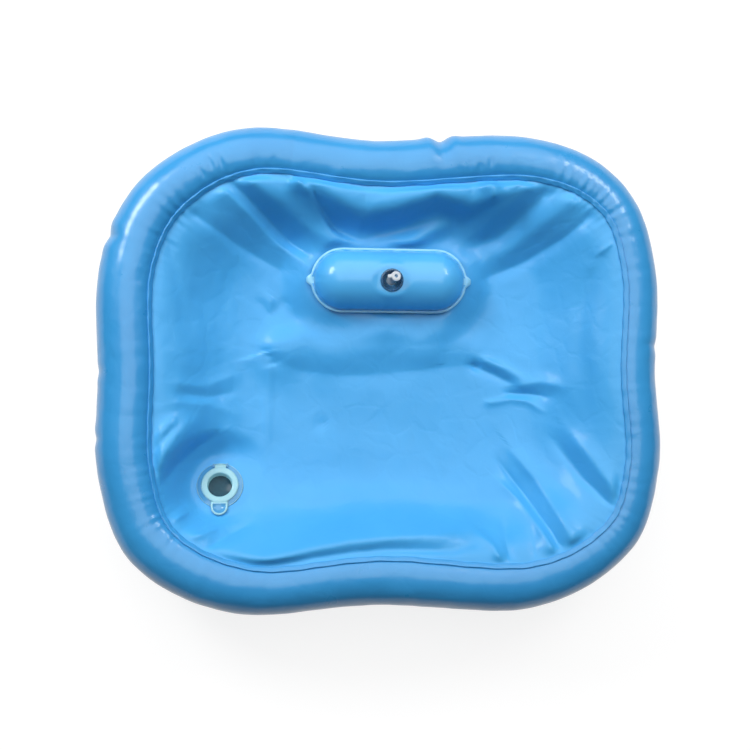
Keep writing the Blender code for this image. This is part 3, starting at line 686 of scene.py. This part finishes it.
liner = skin("liner", liner_points, close_columns=False)
if sum(face.normal.z for face in liner.faces) < 0:
    bmesh.ops.reverse_faces(liner, faces=liner.faces)
drain_inverse = drain_frame.inverted()
lost = set()
for vert in liner.verts:
    local = drain_inverse @ vert.co
    if math.hypot(local.x, local.y) < drain_hole and abs(local.z) < drain_hole_depth:
        lost.add(vert)
gone = [face for face in liner.faces if all(corner in lost for corner in face.verts)]
bmesh.ops.delete(liner, geom=gone, context="FACES")
for vert in liner.verts:
    local = drain_inverse @ vert.co
    away = math.hypot(local.x, local.y)
    if away < drain_hole and abs(local.z) < drain_hole_depth:
        vert.co = drain_frame @ Vector((local.x * drain_hole / away, local.y * drain_hole / away, local.z))
liner_film = soft_pvc_film(
    "sky_blue_liner_film", "#4aabea", "#43a4e2", roughness=0.37, crease_depth=0.00024, coat=0.08, shine=0.32,
)
liner_piece = finish_piece("liner", liner, liner_film, "basin", ["basin_liner"], film)


# The weld round the rim
# The liner's edge is pressed to the ring under a narrow strip, which stands up as a raised line.
weld_thickness = 0.0010
weld_wave = 0.00018 * np.sin(67 * turning + 2 * np.sin(4 * turning))[:, None]
weld_section = []
for side, rise in (
    (-1.0, 0.00), (-0.5, 0.0), (0.5, 0.0), (1.0, 0.00), (1.06, 0.35), (1.0, 0.75), (0.8, 1.0), (0.4, 1.1),
    (0.0, 1.12), (-0.4, 1.1), (-0.8, 1.0), (-1.0, 0.75), (-1.06, 0.35),
):
    angle = seam + side * weld_half_angle * 0.98 + weld_wave / tube_radius
    over = 2 * clearance + film + rise * (weld_thickness + weld_wave)
    weld_section.append(on_tube(angle, upper_skin_radius(angle) + over, upper_height)[:, 0])
rim_weld = skin("rim_weld", np.stack(weld_section, 1))
finish_piece("rim_weld", rim_weld, weld_film, "basin", ["rim_weld_strip"])


# The head pillow
# Two stadium-shaped films welded to each other round their edge and blown up, with a flat weld
# flange all round and a small tab at each end. It lies on the liner, on the neck side.
pillow_length = 0.166
pillow_width = 0.064
pillow_crown = 0.028
base_drop = 0.008
pillow_flange = 0.0035
pillow_tab = 0.0048
pillow_tab_spread = 0.14
pillow_steps = 288
pillow_pucker = 0.0009
half_seal = 0.00065
half_flange = 0.0006
edge_highlight_inset = 0.0013
pillow_seat_blend = 0.010
half_width = pillow_width / 2
half_straight = pillow_length / 2 - half_width


def stadium(out, half_straight, count):
    """Points round a shape with straight sides and round ends, evenly spread, `out` from its middle."""
    turn = np.arange(count) / count
    straight_share = half_straight / (2 * half_straight + math.pi * half_width)
    points = np.zeros((count, 2))
    facing = np.zeros((count, 2))
    for index, share in enumerate(turn):
        side, part = divmod(share * 2, 1.0)
        flip = 1 if side == 0 else -1
        if part < 2 * straight_share:
            x = half_straight * (1 - part / straight_share)
            points[index] = (flip * x, flip * out)
            facing[index] = (0, flip)
        else:
            angle = math.pi / 2 + math.pi * (part - 2 * straight_share) / (1 - 2 * straight_share)
            facing[index] = (flip * math.cos(angle), flip * math.sin(angle))
            points[index] = (flip * -half_straight, 0)
            points[index] += facing[index] * out
    return points, facing


# The rows' shares of the half width, from the weld to the middle line, closest at the weld
shares = np.concatenate([[1.0], np.sin(np.linspace(0.97, 0, 24) * math.pi / 2)])
arc = np.linspace(0, math.tau, pillow_steps, endpoint=False)
edge_wave = np.sin(23 * arc + 2.2 * np.sin(3 * arc)) + 0.6 * np.sin(37 * arc + 1.6 * np.sin(5 * arc + 1))
weld_plane = base_drop + half_seal + clearance
seat_share = valve_flat / half_width
seat_height = pillow_crown * math.sqrt(1 - seat_share**2)
flange_shape, flange_facing = stadium(half_width + pillow_flange, half_straight, pillow_steps)
ends = np.exp(-((flange_facing[:, 1] / pillow_tab_spread) ** 4)) * np.abs(flange_facing[:, 0])
flange_shape = flange_shape + flange_facing * (pillow_tab * ends)[:, None]
flange_rise = 0.00035 * edge_wave


def pillow_row(share, height, side):
    """One ring of points of a pillow film, at a share of its half width and that high off the weld."""
    shape, facing = stadium(half_width * share, half_straight, pillow_steps)
    pucker = edge_wave * math.exp(-(1 - share) / 0.10) * (1 - math.exp(-(1 - share) / 0.02))
    rise = height + pillow_pucker * pucker * (1 if side > 0 else 0.4)
    return np.column_stack([shape, side * rise])


top_rows = [pillow_row(share, pillow_crown * math.sqrt(1 - share**2), 1) for share in shares]
base_rows = [pillow_row(share, base_drop * float(smooth((1 - share) / 0.22)), -1) for share in shares]
flange_row = np.column_stack([flange_shape, flange_rise + half_flange])
flange_under = np.column_stack([flange_shape, flange_rise - half_flange])
inner_shape = flange_shape * 0.4 + top_rows[0][:, :2] * 0.6
inner_flange = np.column_stack([inner_shape, 0.5 * flange_rise + half_flange])
inner_under = np.column_stack([inner_shape, 0.5 * flange_rise - half_flange])
all_rows = base_rows[::-1] + [inner_under, flange_under, flange_row, inner_flange] + top_rows
pillow_points = np.stack(all_rows, 1)
pillow_points[..., 2] += weld_plane
bm = skin("pillow", pillow_points, close_columns=False)
bmesh.ops.remove_doubles(bm, verts=bm.verts, dist=0.00005)
bmesh.ops.recalc_face_normals(bm, faces=bm.faces)
bmesh.ops.transform(bm, matrix=pillow_frame, verts=bm.verts)
pillow_valve = pillow_frame @ Matrix.Translation((0, 0, weld_plane + seat_height + half_seal))
seat_valve(bm, pillow_valve, pillow_seat_blend)
# The pillow takes a lighter copy of the same blue film: painted sheen on its top.
pillow_film = soft_pvc_film(
    "sky_blue_pillow_film", "#52b2ee", "#4aaae6", roughness=0.33, crease_depth=0.00006, coat=0.45, shine=0.4,
)
pillow = finish_piece(
    "head_pillow", bm, pillow_film, "basin", ["pillow_top", "pillow_base"],
)
# The flange's outer faces take a pale film: a painted highlight round the pillow's edge. The first 1.3 mm of
# the flange keeps the pillow's own film.
pillow.data.materials.append(welded_film("pillow_edge_painted_highlight", "#9bdcfb", "#7fcbf3"))
pillow_inverse = pillow_frame.inverted()
for face in pillow.data.polygons:
    local = pillow_inverse @ face.center
    if math.hypot(max(abs(local.x) - half_straight, 0), local.y) > half_width + edge_highlight_inset:
        face.material_index = 1


# The valves
# Three moulded clear PVC valves. A flange with a deep well is welded over the film's hole; the stem
# pushes down into the well, with a check flap at its foot and a cap on a moulded strap.
def clear_pvc(name, tint, cloud):
    """Moulded soft PVC, clear but faintly milky, with the slight waviness of a moulded skin."""
    material, tree, shader = new_material(name)
    place = add_node(tree, "ShaderNodeTexCoord").outputs["Object"]
    milk = add_node(
        tree, "ShaderNodeTexNoise", values={"Scale": 260.0, "Detail": 3.0}, links={"Vector": place},
    )
    colours = add_node(tree, "ShaderNodeValToRGB", links={"Fac": milk.outputs["Fac"]})
    colours.color_ramp.elements[0].color = linear(tint)
    colours.color_ramp.elements[1].color = linear(cloud)
    tree.links.new(colours.outputs["Color"], shader.inputs["Base Color"])
    skin_bump = add_node(
        tree, "ShaderNodeBump", values={"Strength": 0.3, "Distance": 0.0001},
        links={"Height": milk.outputs["Fac"]},
    )
    tree.links.new(skin_bump.outputs["Normal"], shader.inputs["Normal"])
    shader.inputs["Roughness"].default_value = 0.09
    shader.inputs["IOR"].default_value = 1.53
    return material, shader


flange_pvc, shader = clear_pvc("clear_blue_moulded_pvc", "#4f97cf", "#6aaadb")
shader.inputs["Transmission Weight"].default_value = 0.75
valve_pvc, shader = clear_pvc("clear_moulded_pvc", "#e8f3fb", "#fafdff")
shader.inputs["Transmission Weight"].default_value = 0.45


def turned(profile, steps=64):
    """A round piece spun from its profile, given as radius and height down its outer side."""
    bm = bmesh.new()
    corners = [bm.verts.new((radius, 0, height)) for radius, height in profile]
    closed = profile[0][0] > 0
    for corner, after in zip(corners, corners[1:] + corners[:1]):
        if closed or after is not corners[0]:
            bm.edges.new((corner, after))
    bmesh.ops.spin(
        bm, geom=bm.verts[:] + bm.edges[:], cent=(0, 0, 0), axis=(0, 0, 1),
        angle=math.tau, steps=steps, use_merge=True, use_duplicate=False,
    )
    bmesh.ops.remove_doubles(bm, verts=bm.verts, dist=0.000005)
    bmesh.ops.recalc_face_normals(bm, faces=bm.faces)
    return bm


def add_block(bm, size, centre, edge=0.0002):
    """Adds a block with softened edges to a mesh."""
    made = bmesh.ops.create_cube(bm, size=1)["verts"]
    bmesh.ops.scale(bm, verts=made, vec=size)
    bmesh.ops.translate(bm, verts=made, vec=centre)
    sides = list({side for vert in made for side in vert.link_edges})
    bmesh.ops.bevel(
        bm, geom=sides, offset=edge, offset_type="OFFSET", affect="EDGES", segments=3, profile=0.5,
        material=-1,
    )


def add_roll(bm, radius, length, centre, axis):
    """Adds a round bar, along X or Y, to a mesh: the moulded hinge of a strap."""
    turn = Matrix.Rotation(math.pi / 2, 4, axis)
    bmesh.ops.create_cone(
        bm, cap_ends=True, segments=32, radius1=radius, radius2=radius, depth=length,
        matrix=Matrix.Translation(centre) @ turn,
    )


valve_flange_radius = 0.0125
bead_radius = 0.0109
well_radius = 0.0102
well_wall = 0.0009
well_depth = 0.0060
well_bore = 0.0053
well_round = 0.0008
soft_edge = 0.0002
stem_radius = 0.0045
stem_bore = 0.0033
stem_travel = 0.010
collar_height = 0.0010
foot_radius = 0.0060
foot_thickness = 0.0010
cap_radius = 0.0053
cap_plug_radius = 0.0028
cap_plug_length = 0.0040
dimple_radius = 0.0019
dimple_depth = 0.0006
strap_width = 0.0034
strap_thickness = 0.0010
strap_overlap = 0.0008
roll_radius = 0.0008
flap_radius = 0.0042
flap_thickness = 0.0006
pillow_stem_lean = math.radians(18)
pillow_stem_lean_direction = math.radians(52)


def fit_valve(which, seat, axis, out, lean):
    """One valve: the flange on its seat, and the stem, flap and cap on their own axis, drawn out."""
    rim, floor = valve_rim, -well_depth - well_wall
    outer = well_radius + well_wall
    node = which + "_valve"
    flange = turned([
        (valve_flange_radius, clearance + soft_edge), (valve_flange_radius, rim - 0.0003),
        (valve_flange_radius - 0.0004, rim), (bead_radius + 0.0003, rim),
        (bead_radius, rim + soft_edge), (well_radius + 0.0003, rim + soft_edge),
        (well_radius, rim - 0.0001), (well_radius, -well_depth + well_round),
        (well_radius - 0.0009, -well_depth), (well_bore, -well_depth), (well_bore, floor),
        (outer - well_round, floor), (outer, floor + well_round), (outer, clearance),
    ], 72)
    bmesh.ops.transform(flange, matrix=seat, verts=flange.verts)
    finish_piece(node + "_flange_moulding", flange, flange_pvc, "basin", [node + "_flange"])

    top = stowed_top + out
    foot = floor - clearance - foot_radius * math.tan(lean) - stem_travel + out
    stem = turned([
        (cap_radius - 0.0003, top), (cap_radius, top - soft_edge),
        (cap_radius, top - collar_height + soft_edge), (cap_radius - 0.0003, top - collar_height),
        (stem_radius, top - collar_height - soft_edge), (stem_radius, foot + 0.0004),
        (stem_radius + 0.0005, foot), (foot_radius, foot - 0.0001),
        (foot_radius, foot - foot_thickness), (stem_bore, foot - foot_thickness),
        (stem_bore, top - soft_edge), (stem_bore + soft_edge, top),
    ])
    roll_height = top - clearance
    ear_top = roll_height - roll_radius - clearance
    ear_end = strap_reach + roll_radius / 2
    ear_start = (stem_radius + stem_bore) / 2
    add_block(
        stem, (ear_end - ear_start, strap_width, strap_thickness),
        (-(ear_end + ear_start) / 2, 0, ear_top - strap_thickness / 2),
    )
    bmesh.ops.transform(stem, matrix=axis, verts=stem.verts)
    finish_piece(node + "_stem_moulding", stem, valve_pvc, which + "_stem", [node + "_stem"])

    base = top + clearance
    crown = base + cap_thickness
    cap = turned([
        (0.0, crown - dimple_depth), (dimple_radius - dimple_depth, crown - dimple_depth),
        (dimple_radius, crown - soft_edge), (dimple_radius + dimple_depth, crown),
        (cap_radius - 0.0005, crown), (cap_radius, crown - 0.0004), (cap_radius, base + 0.0003),
        (cap_radius - 0.0003, base), (cap_plug_radius + soft_edge, base),
        (cap_plug_radius, base - 0.0015), (cap_plug_radius - 0.0001, top - cap_plug_length + 0.0004),
        (cap_plug_radius - 0.0006, top - cap_plug_length), (0.0, top - cap_plug_length),
    ])
    strap_end = cap_radius - strap_overlap
    add_block(
        cap, (strap_reach - strap_end, strap_width, strap_thickness),
        (-(strap_reach + strap_end) / 2, 0, base + strap_thickness / 2),
    )
    add_roll(cap, roll_radius, strap_width, (-strap_reach, 0, roll_height), "X")
    bmesh.ops.transform(cap, matrix=axis, verts=cap.verts)
    cap_piece = finish_piece(
        node + "_cap_moulding", cap, valve_pvc, which + "_cap", [node + "_cap"],
    )
    # The crown's dimple takes the blue-tinted well PVC, which paints it darker: painted shade in the cap's
    # hollow centre.
    cap_piece.data.materials.append(flange_pvc)
    axis_inverse = axis.inverted()
    for face in cap_piece.data.polygons:
        local = axis_inverse @ face.center
        if math.hypot(local.x, local.y) < dimple_radius and local.z > base:
            face.material_index = 1

    flap_top = foot - foot_thickness - clearance
    flap_base = flap_top - flap_thickness
    flap = turned([
        (0.0, flap_top), (flap_radius - soft_edge, flap_top), (flap_radius, flap_top - soft_edge),
        (flap_radius, flap_base + soft_edge), (flap_radius - soft_edge, flap_base), (0.0, flap_base),
    ])
    bmesh.ops.transform(flap, matrix=axis, verts=flap.verts)
    finish_piece(node + "_flap_moulding", flap, valve_pvc, which + "_flap", [node + "_flap"])


# The pillow's stem is drawn out and leans over in its well, as soft stems do
direction = pillow_stem_lean_direction
leaning = Matrix.Rotation(pillow_stem_lean, 4, Vector((-math.sin(direction), math.cos(direction), 0)))
pivot = Matrix.Translation((0, 0, -well_depth - well_wall / 2))
pillow_stem_axis = pillow_valve @ pivot @ leaning @ pivot.inverted()
fit_valve("pillow", pillow_valve, pillow_stem_axis, stem_travel, pillow_stem_lean)
for which in ("upper", "lower"):
    fit_valve(which, valve_on_ring(which), valve_on_ring(which), 0, 0)


# The drain
# A pale aqua PVC moulding: a flange and neck through the liner, a backing ring under it, a barbed
# spigot for a hose, and a recessed plug that swings up on a moulded hinge by its pull tab.
drain_pvc, shader = clear_pvc("pale_aqua_moulded_pvc", "#98dcec", "#b4e8f0")
shader.inputs["Transmission Weight"].default_value = 0.25
drain_flange_pvc, shader = clear_pvc("clear_aqua_moulded_pvc", "#4fa8e0", "#6ab8ea")
shader.inputs["Transmission Weight"].default_value = 0.30
# A dark material for the plug's well floor: painted shade of the dark drain below it.
well_floor_shade_pvc, shader = clear_pvc("painted_shade_well_floor", "#1c3f4e", "#27505f")
shader.inputs["Roughness"].default_value = 0.28
shader.inputs["Specular IOR Level"].default_value = 0.15
flange_radius = 0.0250
drain_flange_thickness = 0.0012
land_radius = 0.0206
land_height = 0.0004
rim_highlight_width = 0.0009
backing_radius = 0.0255
backing_thickness = 0.0010
sleeve_wall = 0.0016
shoulder_drop = 0.0050
spigot_length = 0.0200
spigot_radius = 0.0095
spigot_bore = 0.0075
barb_height = 0.0010
barb_pitch = 0.0060
plug_rim = 0.0200
plug_rim_thickness = 0.0016
plug_well_depth = 0.0092
plug_floor = 0.0012
plug_bore = 0.0131
plug_outside = 0.0150
hinge_reach = 0.0230
hinge_length = 0.0120
hinge_radius = 0.0009
ear_width = 0.0020
ear_height = 0.0024
neck_depth = 0.0083
top = clearance + drain_flange_thickness
neck = drain_bore + neck_wall
flange = turned([
    (flange_radius, clearance + 0.0003), (flange_radius - 0.0002, top - 0.0003),
    (flange_radius - 0.0007, top),
    (land_radius + 0.0006, top), (land_radius, top + land_height),
    (drain_bore + 0.0006, top + land_height), (drain_bore, top - 0.0001),
    (drain_bore, -neck_depth + 0.0004), (drain_bore + 0.0004, -neck_depth),
    (neck, -neck_depth), (neck, clearance),
    (flange_radius - 0.0003, clearance),
], 96)
for side in (-1, 1):
    add_block(
        flange, (ear_width, 2 * (flange_radius - hinge_reach), ear_height),
        (side * ((hinge_length + ear_width) / 2 + clearance), hinge_reach - hinge_radius,
         top + ear_height / 2 - drain_flange_thickness / 2), 0.0003,
    )
bmesh.ops.transform(flange, matrix=drain_frame, verts=flange.verts)
drain_flange = finish_piece(
    "drain_flange_moulding", flange, drain_flange_pvc, "basin", ["drain_flange"],
)
# The flange's outer edge takes the pale aqua moulding: a painted highlight round its rim.
drain_flange.data.materials.append(drain_pvc)
for face in drain_flange.data.polygons:
    local = drain_inverse @ face.center
    if math.hypot(local.x, local.y) > flange_radius - rim_highlight_width:
        face.material_index = 1

under = -film - clearance
backing_base = under - backing_thickness
backing = turned([
    (backing_radius, under), (backing_radius, backing_base),
    (neck + clearance, backing_base), (neck + clearance, under),
], 96)
bmesh.ops.transform(backing, matrix=drain_frame, verts=backing.verts)
finish_piece(
    "drain_backing_washer", backing, weld_film, "basin", ["drain_backing_ring"],
    round_off=soft_edge,
)

sleeve_top = backing_base - clearance
sleeve_in, sleeve_out = neck + clearance, neck + clearance + sleeve_wall
shoulder = -neck_depth - clearance
root = shoulder - shoulder_drop
tip = root - spigot_length
outside = [
    (sleeve_out, sleeve_top), (sleeve_out, shoulder + 0.0008), (sleeve_out - 0.0008, shoulder - 0.0002),
    (spigot_radius + 0.0005, root + 0.0006), (spigot_radius, root),
]
barb = root - barb_pitch
while barb - barb_pitch > tip:
    outside += [
        (spigot_radius, barb), (spigot_radius + barb_height - 0.0001, barb - 0.0001),
        (spigot_radius + barb_height, barb - 0.0004), (spigot_radius, barb - barb_pitch / 2),
    ]
    barb -= barb_pitch
outside += [(spigot_radius, tip + 0.0004), (spigot_radius - 0.0004, tip)]
inside = [
    (spigot_bore + 0.0003, tip), (spigot_bore, tip + 0.0003), (spigot_bore, root), (sleeve_in, shoulder),
]
spigot = turned(outside + inside + [(sleeve_in, sleeve_top)], 72)
bmesh.ops.transform(spigot, matrix=drain_frame, verts=spigot.verts)
finish_piece("drain_spigot_moulding", spigot, drain_pvc, "basin", ["drain_spigot"])

rim_base = top + clearance
rim_top = rim_base + plug_rim_thickness
well_floor = rim_top - plug_well_depth
plug_base = well_floor - plug_floor
plug = turned([
    (0.0, well_floor), (plug_bore - 0.0013, well_floor), (plug_bore - 0.0005, well_floor + 0.0006),
    (plug_bore, rim_top - 0.0005), (plug_bore + 0.0006, rim_top + 0.0001),
    (plug_bore + 0.0014, rim_top + 0.0003), (plug_rim - 0.0015, rim_top + 0.0003),
    (plug_rim - 0.0004, rim_top - 0.0001), (plug_rim, rim_top - 0.0006),
    (plug_rim, rim_base + 0.0003), (plug_rim - 0.0003, rim_base), (plug_outside, rim_base),
    (plug_outside - 0.0008, plug_base + 0.0006), (plug_outside - 0.0014, plug_base), (0.0, plug_base),
], 96)
strap_start = plug_rim - plug_rim_thickness
add_block(
    plug, (hinge_length, hinge_reach - strap_start, hinge_radius),
    (0, (hinge_reach + strap_start) / 2, (rim_base + rim_top) / 2),
)
add_roll(plug, hinge_radius, hinge_length, (0, hinge_reach, rim_base + hinge_radius), "Y")
# The pull tab: a tongue with a raised rim round a shallow recess
half_tab = 0.0090
tab_reach = 0.0335
tab_root = 0.0186
tab_rim = 0.0021
tab_slope = 0.0006
tab_depth = 0.0009
tab_turns = np.linspace(0, math.pi, 25)
tab_edge = [(half_tab, -tab_root)]
tab_edge += [(half_tab * math.cos(t), half_tab - tab_reach - half_tab * math.sin(t)) for t in tab_turns]
tab_edge += [(-half_tab, -tab_root)]
tab_floor = plug.faces.new([plug.verts.new((x, y, rim_base)) for x, y in tab_edge])
raised = bmesh.ops.extrude_face_region(plug, geom=[tab_floor])["geom"]
tab_top = next(item for item in raised if isinstance(item, bmesh.types.BMFace))
bmesh.ops.translate(plug, verts=tab_top.verts[:], vec=(0, 0, rim_top - rim_base))
bmesh.ops.inset_region(plug, faces=[tab_top], thickness=tab_rim, use_even_offset=True)
bmesh.ops.inset_region(plug, faces=[tab_top], thickness=tab_slope, depth=tab_depth, use_even_offset=True)
bmesh.ops.recalc_face_normals(plug, faces=plug.faces)
bmesh.ops.transform(plug, matrix=drain_frame, verts=plug.verts)
plug_piece = finish_piece("drain_plug_moulding", plug, drain_pvc, "plug", ["drain_plug"])
plug_piece.data.materials.append(well_floor_shade_pvc)
plug_piece.data.materials.append(drain_flange_pvc)
for face in plug_piece.data.polygons:
    local = drain_inverse @ face.center
    in_tab = abs(local.x) < half_tab - 0.0015 and 0.0016 - tab_reach < local.y < -0.0195
    # The well's floor takes the dark material: painted shade.
    if math.hypot(local.x, local.y) < 0.0122 and abs(local.z - well_floor) < 0.0004:
        face.material_index = 1
    elif in_tab and rim_base + 0.0002 < local.z < rim_top - 0.0003:
        face.material_index = 2
